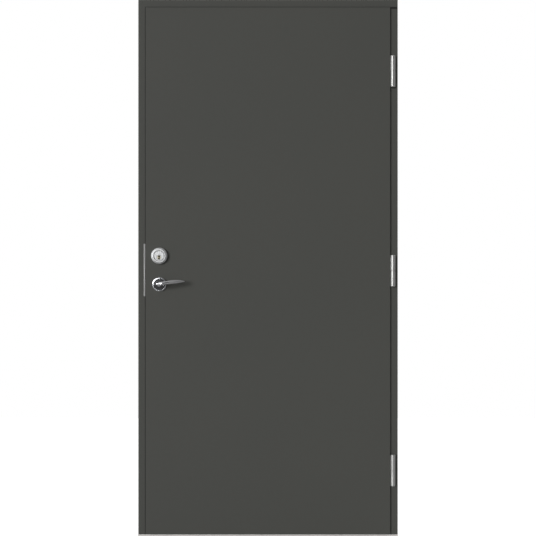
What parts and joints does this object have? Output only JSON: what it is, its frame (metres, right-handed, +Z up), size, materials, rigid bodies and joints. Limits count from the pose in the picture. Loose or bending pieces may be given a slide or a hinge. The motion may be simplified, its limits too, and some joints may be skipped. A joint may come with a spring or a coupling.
{
  "type": "exterior door",
  "caption": "Plain steel exterior door lapping over a folded steel frame with threshold, hung on lift-off hinges, with a lever handle and a round key cylinder.",
  "frame": {"origin": "middle of the threshold's underside, at half the frame's width and depth", "axes": "+X along the wall towards the hinges, +Y through the wall from outside to inside, +Z up"},
  "size_m": [0.99, 0.176, 2.065],
  "materials": {
    "frame_paint": "semi-gloss umber grey powder coat",
    "leaf_paint": "semi-gloss umber grey powder coat",
    "core_wool": "mineral wool board",
    "sill_metal": "mill finish",
    "seal_rubber": "matt",
    "hinge_steel": "zinc plated",
    "lock_steel": "satin stainless",
    "cylinder_metal": "satin nickel",
    "plug_brass": "worn nickel over brass",
    "handle_chrome": "polished chrome"
  },
  "bodies": {
    "frame": {"frame_hinge_jamb": "frame_paint", "frame_lock_jamb": "frame_paint", "frame_head": "frame_paint", "hinge_jamb_stop": "frame_paint", "lock_jamb_stop": "frame_paint", "head_stop": "frame_paint", "threshold": "sill_metal", "hinge_jamb_seal": "seal_rubber", "lock_jamb_seal": "seal_rubber", "head_seal": "seal_rubber", "threshold_seal": "seal_rubber", "strike_plate": "lock_steel", "lower_hinge_frame_half": "hinge_steel", "middle_hinge_frame_half": "hinge_steel", "upper_hinge_frame_half": "hinge_steel"},
    "leaf": {"leaf_outer_tray": "leaf_paint", "leaf_inner_pan": "leaf_paint", "leaf_core": "core_wool", "lower_hinge_leaf_half": "hinge_steel", "middle_hinge_leaf_half": "hinge_steel", "upper_hinge_leaf_half": "hinge_steel", "lock_case": "lock_steel", "latch_bolt": "lock_steel", "dead_bolt": "lock_steel", "cylinder_guard_ring": "cylinder_metal", "cylinder_body": "cylinder_metal", "outer_rose": "handle_chrome", "inner_rose": "handle_chrome", "thumb_turn_rose": "handle_chrome", "thumb_turn": "handle_chrome"},
    "lever": {"outer_lever": "handle_chrome", "inner_lever": "handle_chrome", "lever_spindle": "lock_steel"},
    "plug": {"key_plug": "plug_brass"}
  },
  "joints": [
    {"name": "leaf_swing", "type": "hinge", "parent": "frame", "child": "leaf", "pos_m": [0.475, -0.065, 1.0285], "axis": [0, 0, 1], "range_deg": [0, 170]},
    {"name": "lever_turn", "type": "hinge", "parent": "leaf", "child": "lever", "pos_m": [-0.413, -0.0305, 0.979], "axis": [0, 1, 0], "range_deg": [0, 45], "stiffness_Nm_per_rad": 1, "springref_deg": -28.65},
    {"name": "key_plug_turn", "type": "hinge", "parent": "leaf", "child": "plug", "pos_m": [-0.413, -0.063, 1.081], "axis": [0, 1, 0], "range_deg": [-90, 90]}
  ]
}
